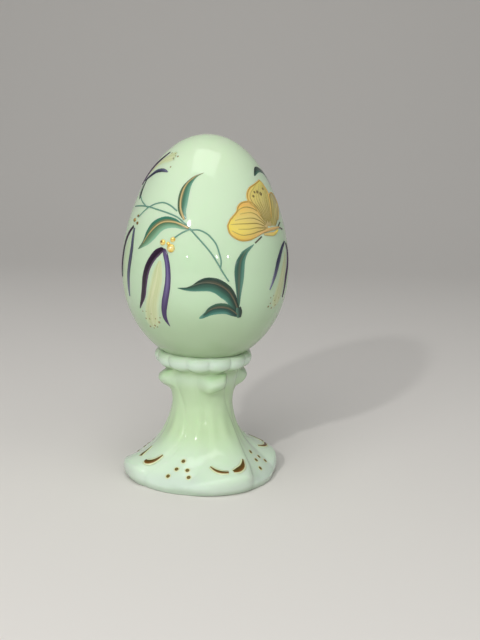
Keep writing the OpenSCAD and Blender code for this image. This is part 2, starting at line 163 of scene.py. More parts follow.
def standRaw(azimuth, s):
    lobeR, lobeZ, panelR, panelZ, crease, notch, drift = spline(standRows, s)
    swing = math.radians(stand["lobes"] * (azimuth - stand["lobeAzimuth"] - drift))
    tip = min(1, stand["scrollFlat"] * near(s, stand["scrollRow"], stand["scrollReach"]))
    swing -= stand["skew"] * (1 - tip) * math.cos(swing)
    c = math.cos(swing)
    lobed = (((1 + c) / 2) ** 2 * (2 - c)) ** (1 + stand["scrollPinch"] * tip)
    right = (1 + math.sin(swing)) / 2
    groove = stand["creaseRight"] * right * (1 - abs(c)) ** stand["creaseSharp"]
    leftward = 1 - abs(math.cos(swing + stand["leftShift"]))
    groove += stand["creaseLeft"] * (1 - right) * leftward ** stand["creaseSharp"]
    x = (azimuth - stand["beadAzimuth"]) / 360 * stand["beads"] % 1 * 2 - 1  # across one bead
    rounding = 1 - math.sqrt(1 - stand["beadFull"] * x * x)
    flute = near(s, stand["fluteRow"], stand["fluteReach"])
    flute *= math.cos(math.radians(stand["flutes"] * (azimuth - stand["fluteAzimuth"])))
    radius = panelR + (lobeR - panelR) * lobed - crease * groove - notch * rounding
    radius += stand["fluteDepth"] * flute
    height = panelZ + (lobeZ - panelZ) * lobed
    height += stand["beadLift"] * near(s, stand["beadRow"], stand["beadReach"]) * x * x
    height += stand["lean"] * tip * lobed * math.sin(swing)
    a = math.radians(azimuth)
    return Vector((radius * math.sin(a), -radius * math.cos(a), max(0, height)))


def onStand(place, lift=0.0):
    a, s = place[0], place[1]
    out = (standRaw(a + 0.5, s) - standRaw(a - 0.5, s)).cross(standRaw(a, s + 0.05) - standRaw(a, s - 0.05))
    return standRaw(a, s) + out.normalized() * lift


def newMaterial(name):
    material = bpy.data.materials.new(name)
    material.use_nodes = True
    nodes, links = material.node_tree.nodes, material.node_tree.links
    return material, nodes, links, nodes["Principled BSDF"]


def ramp(nodes, stops, easing="EASE"):
    node = nodes.new("ShaderNodeValToRGB")
    node.color_ramp.interpolation = easing
    elements = node.color_ramp.elements
    while len(elements) < len(stops):
        elements.new(0.5)
    for element, (place, colour) in zip(elements, stops):
        element.position = place
        element.color = ink(colour)
    return node


def calculate(nodes, links, kind, *values, clamp=False):
    node = nodes.new("ShaderNodeMath")
    node.operation = kind
    node.use_clamp = clamp
    for socket, value in zip(node.inputs, values):
        if isinstance(value, (int, float)):
            socket.default_value = value
        else:
            links.new(value, socket)
    return node.outputs[0]


def grain(nodes, links, where, scale, detail, stretch=None):
    cloud = nodes.new("ShaderNodeTexNoise")
    cloud.inputs["Scale"].default_value = scale
    cloud.inputs["Detail"].default_value = detail
    if stretch:
        mapping = nodes.new("ShaderNodeMapping")
        mapping.inputs["Scale"].default_value = (*stretch, 1)
        links.new(where, mapping.inputs["Vector"])
        where = mapping.outputs[0]
    links.new(where, cloud.inputs["Vector"])
    return cloud.outputs["Fac"]


def dent(nodes, links, shader, height, strength, distance):
    bump = nodes.new("ShaderNodeBump")
    bump.inputs["Strength"].default_value = strength
    bump.inputs["Distance"].default_value = distance
    links.new(height, bump.inputs["Height"])
    links.new(bump.outputs[0], shader.inputs["Normal"])


def mixIn(nodes, links, under, over, amount):
    node = nodes.new("ShaderNodeMix")
    node.data_type = "RGBA"
    links.new(amount, node.inputs["Factor"])
    links.new(under, node.inputs["A"])
    node.inputs["B"].default_value = ink(over)
    return node.outputs["Result"]


def between(nodes, links, value, start, end):
    mask = nodes.new("ShaderNodeMapRange")
    mask.inputs["From Min"].default_value = start
    mask.inputs["From Max"].default_value = end
    links.new(value, mask.inputs["Value"])
    return mask.outputs[0]


glass = {"tall": 0.095, "cloudScale": 55, "eggDrift": 0.14, "footDrift": 0.05, "roughness": 0.05,
         "scatter": 0.4, "scatterReach": 0.002, "scatterTint": (0.7, 1.0, 0.7), "waveScale": 130,
         "eggWave": 0.1, "footWave": 0.3, "waveDepth": 0.0004}


def jadeGlassWithPaintedLight(name, stops, clouds, wave):
    # opaque glass: soft clouds of colour by height, under a polished face that waves a little; the colour
    # by height is painted light and shade
    material, nodes, links, shader = newMaterial(name)
    where = nodes.new("ShaderNodeTexCoord").outputs["Object"]
    split = nodes.new("ShaderNodeSeparateXYZ")
    links.new(where, split.inputs[0])
    height = calculate(nodes, links, "DIVIDE", split.outputs["Z"], glass["tall"])
    cloud = grain(nodes, links, where, glass["cloudScale"], 3)
    drift = calculate(nodes, links, "MULTIPLY_ADD", cloud, clouds, -clouds / 2)
    shade = ramp(nodes, stops)
    links.new(calculate(nodes, links, "ADD", height, drift, clamp=True), shade.inputs[0])
    links.new(shade.outputs[0], shader.inputs["Base Color"])
    shader.inputs["Roughness"].default_value = glass["roughness"]
    shader.inputs["Subsurface Weight"].default_value = glass["scatter"]
    shader.inputs["Subsurface Radius"].default_value = glass["scatterTint"]
    shader.inputs["Subsurface Scale"].default_value = glass["scatterReach"]
    dent(nodes, links, shader, grain(nodes, links, where, glass["waveScale"], 1), wave, glass["waveDepth"])
    return material


enamel = {"bristle": 0.25, "bristleDepth": 0.00005}
raised = {"grain": 900, "metal": 0.3, "roughness": 0.15, "coat": 0.6}


def brushed(name, across, streaks=(2.5, 16), ragged=0.18, edges=None, root=None, tip=None,
            shine=0.22, metal=0.0):
    # enamel: colour changes across the stroke, drawn out in bristle lines along it
    # edges: (colour, start, end) where the paint thins towards both sides
    # root and tip: (colour, start, end) along the stroke
    material, nodes, links, shader = newMaterial(name)
    where = nodes.new("ShaderNodeTexCoord").outputs["UV"]
    split = nodes.new("ShaderNodeSeparateXYZ")
    links.new(where, split.inputs[0])
    bristle = grain(nodes, links, where, 1, 4, streaks)
    shift = calculate(nodes, links, "MULTIPLY_ADD", bristle, ragged * 2, -ragged)
    colour = ramp(nodes, across, "LINEAR")
    links.new(calculate(nodes, links, "ADD", split.outputs["Y"], shift, clamp=True), colour.inputs[0])
    out = colour.outputs[0]
    lengthwise = calculate(nodes, links, "ADD", split.outputs["X"], shift)
    for end in (root, tip):
        if end:
            out = mixIn(nodes, links, out, end[0], between(nodes, links, lengthwise, end[1], end[2]))
    if edges:
        away = calculate(nodes, links, "SUBTRACT", split.outputs["Y"], 0.5)
        away = calculate(nodes, links, "ADD", calculate(nodes, links, "ABSOLUTE", away), shift)
        out = mixIn(nodes, links, out, edges[0], between(nodes, links, away, edges[1], edges[2]))
    links.new(out, shader.inputs["Base Color"])
    shader.inputs["Roughness"].default_value = shine
    shader.inputs["Metallic"].default_value = metal
    dent(nodes, links, shader, bristle, enamel["bristle"], enamel["bristleDepth"])
    return material


def goldDrop(name, stops):
    # raised paste gold, its colour mottled at random by fine noise
    material, nodes, links, shader = newMaterial(name)
    where = nodes.new("ShaderNodeTexCoord").outputs["Object"]
    shade = ramp(nodes, stops)
    links.new(grain(nodes, links, where, raised["grain"], 2), shade.inputs[0])
    links.new(shade.outputs[0], shader.inputs["Base Color"])
    shader.inputs["Metallic"].default_value = raised["metal"]
    shader.inputs["Roughness"].default_value = raised["roughness"]
    shader.inputs["Coat Weight"].default_value = raised["coat"]
    return material


pale = "BFD9B6"  # the egg's own colour, where thin paint lets it through
# the egg glass colour by height is painted shade: darker and greyer towards the base, deepest there as a
# painted dark reflection, lightest at the top
finish = {"eggGlass": jadeGlassWithPaintedLight("eggGlass", [(0.34, "9CB38C"), (0.45, "B0C8A4"), (0.58, "C0DAB8"),
                                             (0.85, "C9DEBF"), (1.0, "CCE0BE")], glass["eggDrift"],
                                glass["eggWave"]),
          # the foot glass colour by height: darker at its bottom edge on the floor, under the scroll tips
          # and in the neck below the rim, all painted shade; lighter on the scroll tops, a painted
          # highlight; paler at the foot's edge and on the beads, the glass's opal tone, with a painted
          # highlight on the beads too
          "footGlass": jadeGlassWithPaintedLight("footGlass", [(0.0, "B4C6B2"), (0.025, "D0E0D0"), (0.06, "D4E8CF"),
                                               (0.15, "C6DEB4"), (0.26, "BED6AE"), (0.30, "C6DCBE"),
                                               (0.325, "B2CCA2"), (0.355, "CFE1D0"), (0.38, "C4D8BA")],
                                 glass["footDrift"], glass["footWave"]),
          "leafLong": brushed("leafLong", [(0.0, "2F4A3A"), (0.2, "233A30"), (0.36, "48493A"),
                                           (0.42, "1E372E"), (0.62, "2A5646"), (0.85, "427866"),
                                           (1.0, "76AC97")], streaks=(2, 20), ragged=0.16,
                              root=("14261F", 0.3, 0.0), tip=("2F5A49", 0.8, 1.0)),
          "leafShort": brushed("leafShort", [(0.0, "3B6650"), (0.25, "2A4A3A"), (0.38, "655F48"),
                                             (0.45, "1F3E36"), (0.7, "336A5D"), (1.0, "5F9C8B")],
                               streaks=(2, 18), ragged=0.2, root=("14282A", 0.35, 0.0),
                               tip=("5F9C88", 0.75, 1.0)),
          "leafTall": brushed("leafTall", [(0.0, "446C5D"), (0.3, "35584C"), (0.5, "59624F"),
                                           (0.62, "3A6557"), (0.85, "628F7D"), (1.0, "4C7868")],
                              streaks=(1.6, 22), ragged=0.2, root=("2C5A4A", 0.2, 0.0),
                              tip=("6F9A85", 0.75, 1.0)),
          "leafUpright": brushed("leafUpright", [(0.0, "56725A"), (0.2, "4C5E44"), (0.32, "B29B6C"),
                                                 (0.4, "7A7A58"), (0.5, "3B6650"), (0.75, "508169"),
                                                 (1.0, "7FAD95")], streaks=(1.6, 20), ragged=0.16,
                                 tip=("8E8F66", 0.72, 1.0)),
          "leafDrooping": brushed("leafDrooping", [(0.0, "3C7A64"), (0.25, "3A6E58"), (0.40, "8C7F52"),
                                                   (0.5, "4B6E50"), (0.72, "6F9272"), (1.0, "8FC2A4")],
                                  streaks=(1.8, 20), ragged=0.2, root=("5B7355", 0.16, 0.0),
                                  tip=("56735C", 0.8, 1.0)),
          "leafDark": brushed("leafDark", [(0.0, "1F2E28"), (0.5, "2E463C"), (1.0, "4E7A68")]),
          "midrib": brushed("midrib", [(0.0, "9C8A5E"), (0.5, "C8B27A"), (1.0, "968A62")],
                            tip=("9A8A5C", 0.6, 1.0)),
          "ribDark": brushed("ribDark", [(0.0, "434639"), (0.5, "645F4A"), (1.0, "434639")],
                             tip=("35503F", 0.5, 1.0)),
          "stem": brushed("stem", [(0.0, "75A08C"), (0.5, "5E8877"), (1.0, "75A08C")], streaks=(9, 2),
                          ragged=0.3),
          "petalDark": brushed("petalDark", [(0.0, "3C2A40"), (0.35, "2B1A2E"), (0.7, "251626"),
                                             (0.9, "4E3A55"), (1.0, "63506A")], streaks=(1.8, 14),
                               ragged=0.16),
          "petalViolet": brushed("petalViolet", [(0.0, "3A2C48"), (0.25, "5A4D7C"), (0.5, "70668F"),
                                                 (0.75, "4E416E"), (1.0, "3A2B50")], streaks=(1.5, 14),
                                 ragged=0.22, root=("3E2C40", 0.14, 0.0), tip=("43355C", 0.45, 0.75)),
          "petalSlate": brushed("petalSlate", [(0.0, "2E3040"), (0.3, "53566A"), (0.6, "3C3E52"),
                                               (1.0, "2A2C3C")], tip=("6E7086", 0.55, 1.0)),
          "pouch": brushed("pouch", [(0.0, "C2D6AA"), (0.2, "CBD1A0"), (0.35, "B4C28E"), (0.5, "D4D8AE"),
                                     (0.62, "B9C592"), (0.8, "CDD3A6"), (1.0, "C2D6AA")],
                           streaks=(1.4, 38), ragged=0.5, edges=(pale, 0.22, 0.6), tip=(pale, 0.82, 1.1)),
          "pouchFaint": brushed("pouchFaint", [(0.0, "BCD4B0"), (0.5, "C1D6AC"), (1.0, "BCD4B0")],
                                streaks=(2.4, 20), ragged=0.3, edges=(pale, 0.25, 0.5)),
          "hindWing": brushed("hindWing", [(0.0, "E2AE5A"), (0.14, "E3BC60"), (0.4, "DCC873"),
                                           (0.75, "E4D066"), (1.0, "E0BA58")], streaks=(2, 22),
                              ragged=0.14, root=("C9B27A", 0.5, 0.05), tip=("E8D458", 0.62, 0.95)),
          "foreWing": brushed("foreWing", [(0.0, "DDBB6A"), (0.2, "D6C670"), (0.6, "CDC176"),
                                           (1.0, "B9AC62")], streaks=(2, 20), ragged=0.18,
                              root=("BDAA76", 0.5, 0.1), tip=("DCCF60", 0.65, 0.95)),
          "farWing": brushed("farWing", [(0.0, "A89E5E"), (0.5, "C2B677"), (1.0, "A0935A")],
                             streaks=(2, 16), ragged=0.25),
          "wingLine": brushed("wingLine", [(0.0, "D2B468"), (0.5, "AE8A40"), (1.0, "D2B468")],
                              streaks=(14, 2), ragged=0.3),
          "vein": brushed("vein", [(0.0, "A89A54"), (0.5, "85793F"), (1.0, "A89A54")],
                          tip=("C3B468", 0.4, 1.0)),
          "body": brushed("body", [(0.0, "C9A860"), (0.5, "D6B076"), (1.0, "C9A860")], streaks=(16, 3),
                          ragged=0.4),
          "spot": brushed("spot", [(0.0, "8E7C48"), (1.0, "7A6E40")]),
          "freckle": goldDrop("freckle", [(0.35, "8E8458"), (0.6, "B0A878")]),
          "gilding": brushed("gilding", [(0.0, "CDBF86"), (0.14, "4E4218"), (0.45, "5C4418"),
                                         (0.68, "6A4A1C"), (0.86, "805824"), (1.0, "D8C68C")],
                             streaks=(3, 5), ragged=0.2, shine=0.2, metal=0.05),
          "halo": brushed("halo", [(0.0, "D2E0BA"), (0.5, "DEDCA2"), (1.0, "D2E0BA")], ragged=0.1),
          "giltDot": brushed("giltDot", [(0.0, "57501F"), (0.5, "63521F"), (1.0, "6E5A26")], shine=0.2),
          "gold": goldDrop("gold", [(0.3, "E2B048"), (0.5, "F4D670"), (0.68, "FCEFB4")]),
          "goldBrown": goldDrop("goldBrown", [(0.3, "6A5228"), (0.7, "A8884A")]), }
print("finishes mixed")


def blowEgg():
    deselectAll()
    bpy.ops.mesh.primitive_uv_sphere_add(segments=egg["columns"], ring_count=egg["rings"],
                                         radius=egg["half"] * mm, location=(0, 0, egg["middle"] * mm))
    bpy.ops.object.transform_apply(location=True, rotation=True, scale=True)
    obj = bpy.context.object
    for vertex in obj.data.vertices:  # every ring drawn in to the egg's outline
        flat = math.hypot(vertex.co.x, vertex.co.y)
        if flat > 1e-7:
            pull = eggRadius(vertex.co.z / mm) * mm / flat
            vertex.co.x *= pull
            vertex.co.y *= pull
    bottom = egg["middle"] - egg["half"]
    pick(obj)
    bpy.ops.object.mode_set(mode="EDIT")
    bpy.ops.mesh.select_mode(type="FACE")
    bpy.ops.mesh.select_all(action="DESELECT")
    bpy.ops.object.mode_set(mode="OBJECT")
    for face in obj.data.polygons:  # vent at the bottom
        low = face.center.z < (bottom + egg["ventZone"]) * mm
        face.select = low and math.hypot(face.center.x, face.center.y) < egg["vent"] * mm
    bpy.ops.object.mode_set(mode="EDIT")
    bpy.ops.mesh.delete(type="FACE")
    bpy.ops.object.mode_set(mode="OBJECT")
    thicken(obj, egg["wall"] * mm)
    obj.data.materials.append(finish["eggGlass"])
    settle(joinUp("eggGlass", [obj]), "egg", "jade_glass", "egg_shell")


def standOutline():
    # places down the whole closed outline: underside, outer face, rim, cup
    under = [(stand["pole"], 18.0), (2.0, 17.4), (3.8, 15.6), (5.6, 11.6), (8.0, 7.6), (11.2, 4.9),
             (14.2, 3.2), (16.6, 1.6), (17.4, 0.3), (17.7, 0.0), (19.2, 0.0)]
    steps = (len(under) - 1) * stand["underSteps"]
    rows = [("round", *along(under, i / steps)) for i in range(steps + 1)]
    outer = (len(standRows) - 1) * stand["rowSteps"]
    rows += [("lobed", i / stand["rowSteps"]) for i in range(1, outer + 1)]
    bottom = egg["middle"] - egg["half"]
    for i in range(stand["cupSteps"], -1, -1):
        height = bottom + (stand["cupTop"] - bottom) * (i / stand["cupSteps"]) ** 2
        radius = eggRadius(height) + stand["seatGap"] if i else 0
        rows.append(("round", max(radius, stand["pole"]), height - stand["seatGap"]))
    return rows


def pressStand():
    # one sheet, wrapped round and down the whole outline
    rows = standOutline()
    deselectAll()
    bpy.ops.mesh.primitive_grid_add(x_subdivisions=stand["columns"], y_subdivisions=len(rows) - 1, size=1)
    obj = bpy.context.object
    for vertex in obj.data.vertices:
        azimuth = (vertex.co.x + 0.5) * 360
        row = rows[round((vertex.co.y + 0.5) * (len(rows) - 1))]
        if row[0] == "lobed":
            vertex.co = standRaw(azimuth, row[1]) * mm
        else:
            a = math.radians(azimuth)
            vertex.co = Vector((row[1] * math.sin(a), -row[1] * math.cos(a), max(0, row[2]))) * mm
    weld(obj, 0.0005 * mm)  # where the round meets itself
    weld(obj, 0.03 * mm)  # the poles
    obj.data.materials.append(finish["footGlass"])
    settle(joinUp("pedestalGlass", [obj]), "stand", "jade_glass", "pedestal")


blowEgg()
pressStand()
print("glass made")

brush = {"sunk": 0.05, "bed": 0.1, "crown": 0.1, "steps": 36, "sides": 6, "wobble": 0.05,
         "thinnest": 0.06, "loaded": 0.9, "round": 0.98, "frayFrom": 0.75}


def paint(obj, material):
    thicken(obj, brush["bed"] * mm)
    obj.data.materials.append(finish[material])
    return obj


def stroke(points, material, surface=onEgg, turn=0, crown=None, steps=None, seed=0.0, layer=0.0):
    # points are (azimuth, place, width); one loaded-brush stroke, rounded across and bedded in the glass
    crown = brush["crown"] if crown is None else crown
    deselectAll()
    bpy.ops.mesh.primitive_grid_add(x_subdivisions=steps or brush["steps"],
                                    y_subdivisions=brush["sides"], size=1)
    obj = bpy.context.object
    for vertex in obj.data.vertices:
        t, v = vertex.co.x + 0.5, vertex.co.y * 2
        here = along(points, t)
        back, ahead = along(points, max(t - 0.01, 0)), along(points, min(t + 0.01, 1))
        at = surface((here[0] + turn, here[1]))
        out = surface((here[0] + turn, here[1]), 1) - at
        run = surface((ahead[0] + turn, ahead[1])) - surface((back[0] + turn, back[1]))
        side = run.cross(out).normalized()
        wobble = 1 + brush["wobble"] * noise.noise(Vector((t * 9, v * 3, seed)))
        width = max(here[2], brush["thinnest"]) * wobble
        swell = min(1, width / brush["loaded"])  # a thin stroke stands lower
        bow = math.sqrt(max(0, 1 - v * v * brush["round"]))
        rise = layer * (1 - abs(v) ** 3) - brush["sunk"] + (crown * swell + brush["sunk"]) * bow
        vertex.co = (at + side * (v * width / 2) + out * rise) * mm
    return paint(obj, material)


def patch(left, right, material, turn=0, crown=0.06, sides=14, layer=0.0, seed=0.0, frayed=0.0, crisp=4):
    # paint laid between two edges of (azimuth, height); crisp paint keeps its thickness out to the edge
    deselectAll()
    bpy.ops.mesh.primitive_grid_add(x_subdivisions=brush["steps"], y_subdivisions=sides, size=1)
    obj = bpy.context.object
    for vertex in obj.data.vertices:
        t, c = vertex.co.x + 0.5, vertex.co.y + 0.5
        place = blend(along(left, t), along(right, t), c)
        edge = 1 - abs(2 * c - 1) ** crisp
        ends = min(1, t * 3 * crisp, (1 - t) * 3 * crisp)
        fray = frayed * (noise.noise(Vector((c * 14, seed, 0.3))) - 0.2) * max(0, t - brush["frayFrom"]) * 4
        rise = -brush["sunk"] + (crown + brush["sunk"] + layer) * edge * ends
        vertex.co = onEgg((place[0] + turn, place[1] + fray), rise) * mm
    weld(obj)
    return paint(obj, material)


def drop(place, radius, material="gold", surface=onEgg, flat=0.75, turn=0, lift=0.0):
    # a raised drop: a ball pressed flat on the glass
    deselectAll()
    bpy.ops.mesh.primitive_uv_sphere_add(segments=20, ring_count=12, radius=radius * mm)
    obj = bpy.context.object
    at = surface((place[0] + turn, place[1]), lift)
    out = (surface((place[0] + turn, place[1]), lift + 1) - at).normalized()
    squash = Matrix.Diagonal((1, 1, flat, 1))
    turned = out.to_track_quat("Z", "Y").to_matrix().to_4x4()
    obj.data.transform(Matrix.Translation(at * mm) @ turned @ squash)
    obj.data.materials.append(finish[material])
    return obj


gilt = {"wide": [[(-17, 5.6, 0.25), (-13, 5.05, 0.8), (-9, 4.65, 1.05), (-4, 4.45, 0.8)],
                 [(0, 4.5, 0.8), (4.5, 4.6, 1.8), (10.5, 5.0, 1.5), (16.5, 5.75, 0.25)]],
        "close": [[(-3.5, 6.4, 0.25), (-2.5, 5.9, 0.6), (-1, 5.4, 1.0), (0.5, 5.1, 0.8)],
                  [(11, 4.95, 0.9), (14, 4.85, 1.5), (18, 5.2, 1.2), (22.5, 6.1, 0.25)]],
        "lobes": ["wide", "wide", "wide", "close"],
        "dots": [(0, 6.2), (-4, 5.4), (6.5, 5.4), (-9, 4.45), (9, 4.5)],
        "dotRadius": 0.55,
        "halo": 0.8}
crescents, dots = [], []
for k, kind in enumerate(gilt["lobes"]):
    lobe = stand["lobeAzimuth"] + 90 * k
    for n, shape in enumerate(gilt[kind]):
        halo = [(azimuth, row, width + gilt["halo"]) for azimuth, row, width in shape]
        crescents.append(stroke(halo, "halo", onStand, lobe, crown=0.02, seed=k + n * 0.5))
        crescents.append(stroke(shape, "gilding", onStand, lobe, crown=0.08, layer=0.05, seed=k + n * 0.5))
    for dot in gilt["dots"]:
        dots.append(drop(dot, gilt["dotRadius"] + gilt["halo"] / 3, "halo", onStand, 0.04, lobe - 45))
        dots.append(drop(dot, gilt["dotRadius"], "giltDot", onStand, 0.25, lobe - 45))
settle(joinUp("footCrescents", crescents), "stand", "foot_gilding", "foot_crescents")
settle(joinUp("footDots", dots), "stand", "foot_gilding", "foot_dots")
print("foot gilded")

front = {"petals": [("petalDark", [(-28, 66.7), (-33.5, 65.7), (-37.6, 63.8), (-41, 61.4), (-43.3, 58.4),
                                   (-44.4, 55.4), (-46.8, 52.2), (-50.8, 49)],
                     [(-25.2, 66), (-28.8, 64.5), (-32.6, 62.9), (-36, 60.6), (-38, 58), (-39.4, 55.4),
                      (-42, 52.4), (-50, 49)]),
                    ("petalViolet", [(-28, 66.4), (-26.9, 64.5), (-25.3, 62.6), (-24.5, 60.1),
                                     (-24.8, 57.5), (-26.2, 54.8), (-27.8, 52.4), (-28.8, 49.9),
                                     (-28.2, 47.6), (-24, 45.4)],
                     [(-25.4, 66.4), (-22.9, 64.5), (-21.2, 62), (-20.4, 59.3), (-20.6, 56.6),
                      (-21.7, 54.1), (-23.2, 51.7), (-24.6, 49.5), (-24.8, 47.6), (-23.5, 45.4)])],
         "pouch": ("pouch", [(-29.3, 63.6), (-34.4, 60.4), (-37.4, 57), (-40.2, 54), (-44, 50.8),
                             (-47, 48), (-47.6, 45.8), (-44.4, 44.3)],
                   [(-28, 63.9), (-25.9, 61), (-25.4, 57.5), (-27, 54.5), (-28.7, 51.4), (-30, 48.4),
                    (-31.2, 46.2), (-34, 45)]),
         "freckles": [(-44.2, 44.6, 0.3), (-38.2, 45.2, 0.32), (-32.8, 46.4, 0.36), (-45.7, 46.8, 0.24),
                      (-36, 44.9, 0.2), (-47.2, 48.7, 0.2), (-41.6, 46.9, 0.26), (-40.2, 44.4, 0.2),
                      (-35.4, 47.3, 0.22), (-31, 47.8, 0.2), (-43.4, 48.9, 0.16), (-38.6, 48.5, 0.16)],
    # azimuth, height, radius, lift
    "buds": {"gold": [(-28, 67.7, 0.8, 0), (-20.7, 68.6, 0.7, 0), (-21.5, 66.4, 1.1, 0),
                      (-23.8, 67.5, 0.5, 0)],
             "goldBrown": [(-28.3, 67.8, 0.36, 0.42)]}}


def blossom(tag, shape, turn=0, ends=()):
    petals = [patch(one, two, material, turn, crown=0.09, layer=0.08)
              for material, one, two in shape.get("petals", [])]
    petals += [stroke(points, material, turn=turn, layer=0.06)
               for material, points in shape.get("strokes", [])]
    settle(joinUp("petals" + tag, petals), "egg", "purple_enamel", *ends[:1])
    material, one, two = shape["pouch"]
    pouch = [patch(one, two, material, turn, crown=0.03, frayed=1.2)]
    pouch += [drop(f, f[2], "freckle", flat=0.35, turn=turn) for f in shape.get("freckles", [])]
    settle(joinUp("pouch" + tag, pouch), "egg", "cream_enamel", *ends[1:2])


blossom("Front", front, ends=("petals_front", "pouch_front"))
leftBlossom = {"strokes": [("petalDark", [(-61.5, 70.6, 0.6), (-66.5, 69, 1.0), (-70.5, 67, 1.1),
                                          (-73, 64, 1.1), (-74.5, 60, 1.0), (-75, 56.5, 0.2)]),
                           ("petalSlate", [(-59.6, 70.2, 0.6), (-58.6, 67.5, 1.0), (-57.7, 65, 1.3),
                                           (-58.3, 62, 1.5), (-59.9, 58.5, 1.5), (-60.6, 55.3, 1.1),
                                           (-61.3, 52, 0.2)])],
               "pouch": ("pouchFaint", [(-62, 69), (-70, 64), (-73, 58), (-76, 53), (-74, 50)],
                         [(-61, 69), (-60, 64), (-62, 58), (-64, 53), (-68, 50)])}
blossom("Left", leftBlossom, ends=("petals_left", "pouch_left"))
upperBlossom = {"strokes": [("petalDark", [(-84, 81, 0.4), (-81, 83.4, 0.8), (-75, 86, 0.9),
                                           (-68, 88, 0.8), (-60, 90, 0.2)]),
                            ("petalSlate", [(-76, 82.3, 0.4), (-68, 83.6, 0.85), (-59, 85, 1.1),
                                            (-50.3, 85.4, 1.0), (-44.5, 85.3, 0.6), (-41, 85.1, 0.08)])],
                "pouch": ("pouch", [(-78, 83.6), (-72, 86.4), (-64, 88.6), (-50, 90.6), (-42, 90)],
                          [(-76, 83), (-66, 85.6), (-58, 86.6), (-46, 87.2), (-40, 88.2)]),
                "freckles": [(-54, 89.8, 0.25), (-38.5, 89.1, 0.3), (-40.5, 86.4, 0.25),
                             (-46, 89.8, 0.2)]}
blossom("Upper", upperBlossom, ends=("petals_upper", "pouch_upper"))
rightBlossom = {"strokes": [("petalSlate", [(73, 67.3, 0.5), (66, 65.8, 1.1), (59.5, 62.8, 1.6),
                                            (54.6, 59, 1.2), (50, 55.5, 0.2)]),
                            ("petalDark", [(76, 66.8, 0.5), (78, 64.5, 0.9), (76, 61, 1.3),
                                           (72, 57.5, 1.2), (70.4, 52.4, 0.2)])],
                "pouch": ("pouch", [(72, 65.5), (63, 61), (58, 57), (53.5, 53), (56, 50.2)],
                          [(73, 65.5), (72.5, 61), (70.5, 57), (69, 53), (64, 50.2)]),
                "freckles": [(53.3, 51.6, 0.25), (51.6, 50.8, 0.3), (56, 50.2, 0.28), (60.3, 50.8, 0.25),
                             (52.5, 53.2, 0.2), (58.2, 52.2, 0.22), (63.5, 52.6, 0.2),
                             (55.5, 53.6, 0.16)]}
blossom("Right", rightBlossom, ends=("petals_right", "pouch_right"))
blossom("BackNear", front, 150, ("petals_back", "pouch_back"))
blossom("BackFar", front, 220)
print("blossoms painted")

leaf = {"upright": ([(-14.6, 73.4), (-19.4, 75.3), (-21.6, 77.4), (-22.1, 79.6), (-20.6, 81.6),
                     (-16.4, 83.2), (-10.6, 84.5), (0, 85.6)],
                    [(-11.6, 73.5), (-13, 75.4), (-12.5, 77.6), (-12.1, 79.8), (-11.6, 81.7), (-10, 83.2),
                     (-6.5, 84.5), (0, 85.5)], "leafUpright", 0.33, 0.42, "midrib"),
        "drooping": ([(-9.2, 71.7), (-16.4, 73.1), (-21, 74), (-28.5, 74.4), (-36, 73.6), (-41.3, 72.2),
                      (-44.3, 70), (-46, 67.5), (-50.6, 65)],
                     [(-9, 71.3), (-14.9, 71.2), (-20.7, 71.4), (-26.6, 71), (-30.6, 70), (-34.6, 68.2),
                      (-39.6, 66.6), (-45, 65.7), (-50.4, 64.9)], "leafDrooping", 0.42, 0.38, "midrib"),
        "tall": ([(24.8, 51.2), (23, 54.3), (21.8, 56.7), (20.8, 59), (20.4, 61.3), (21.5, 63.5),
                  (23.9, 64.9), (27.2, 66.3), (37.4, 68.1)],
                 [(26, 51), (26.2, 54), (26.9, 56.6), (27.8, 58.9), (28.4, 61.2), (29, 63.7),
                  (30.6, 65.3), (33.6, 66.6), (37.6, 68)], "leafTall", 0.5, 0, ""),
        "long": ([(26.9, 49.8), (25.4, 52), (22.8, 54.9), (19.5, 57), (15.7, 58.3), (11.3, 59.3),
                  (7, 59.7), (2.1, 59.6), (-2.1, 58.8), (-5.6, 57.6), (-9.3, 56.8), (-16.9, 56.5)],
                 [(25.8, 49.3), (22.5, 50.4), (18.9, 51.7), (15.6, 53.1), (12, 54.1), (8.7, 55.1),
                  (4.6, 55.7), (-0.5, 55.7), (-6.2, 55.6), (-10.5, 55.8), (-13.5, 56.1), (-16.9, 56.4)],
                 "leafLong", 0.37, 0.3, "ribDark"),
        "short": ([(27.3, 49.3), (23.9, 51), (19.6, 52.3), (14.9, 52.9), (9.7, 52.8), (5, 51.8),
                   (1.9, 50.2), (-2, 48.7)],
                  [(26.8, 48.6), (20.5, 49.2), (16.4, 49.7), (11.7, 49.7), (7, 49.4), (3.6, 48.9),
                   (1, 48.5), (-1.6, 48.4)], "leafShort", 0.38, 0.22, "ribDark"),
        "right": ([(53.5, 84.7), (60, 86.4), (67, 87), (76, 86.6), (86, 85), (96, 81)],
                  [(53.7, 84.4), (60, 84.9), (67, 85.3), (76, 85), (86, 83.7), (95, 80.6)], "leafDark",
                  0.5, 0, ""),
        "left": ([(-66, 78), (-68.5, 79.6), (-70.5, 81.2), (-72, 83.4)],
                 [(-68, 77.2), (-74, 78.6), (-76.5, 80.6), (-73, 83.4)], "leafDark", 0.5, 0, "")}


def paintLeaf(kind, turn=0, layer=0.0):
    one, two, material, rib, ribWidth, ribMaterial = leaf[kind]
    parts = [patch(one, two, material, turn, layer=layer)]
    if ribWidth:
        line = [(*blend(along(one, t), along(two, t), rib), ribWidth * (1 - t) + 0.1)
                for t in (0.03, 0.25, 0.45, 0.65, 0.86)]
        parts.append(stroke(line, ribMaterial, turn=turn, crown=0.03, layer=0.06 + layer))
    return parts


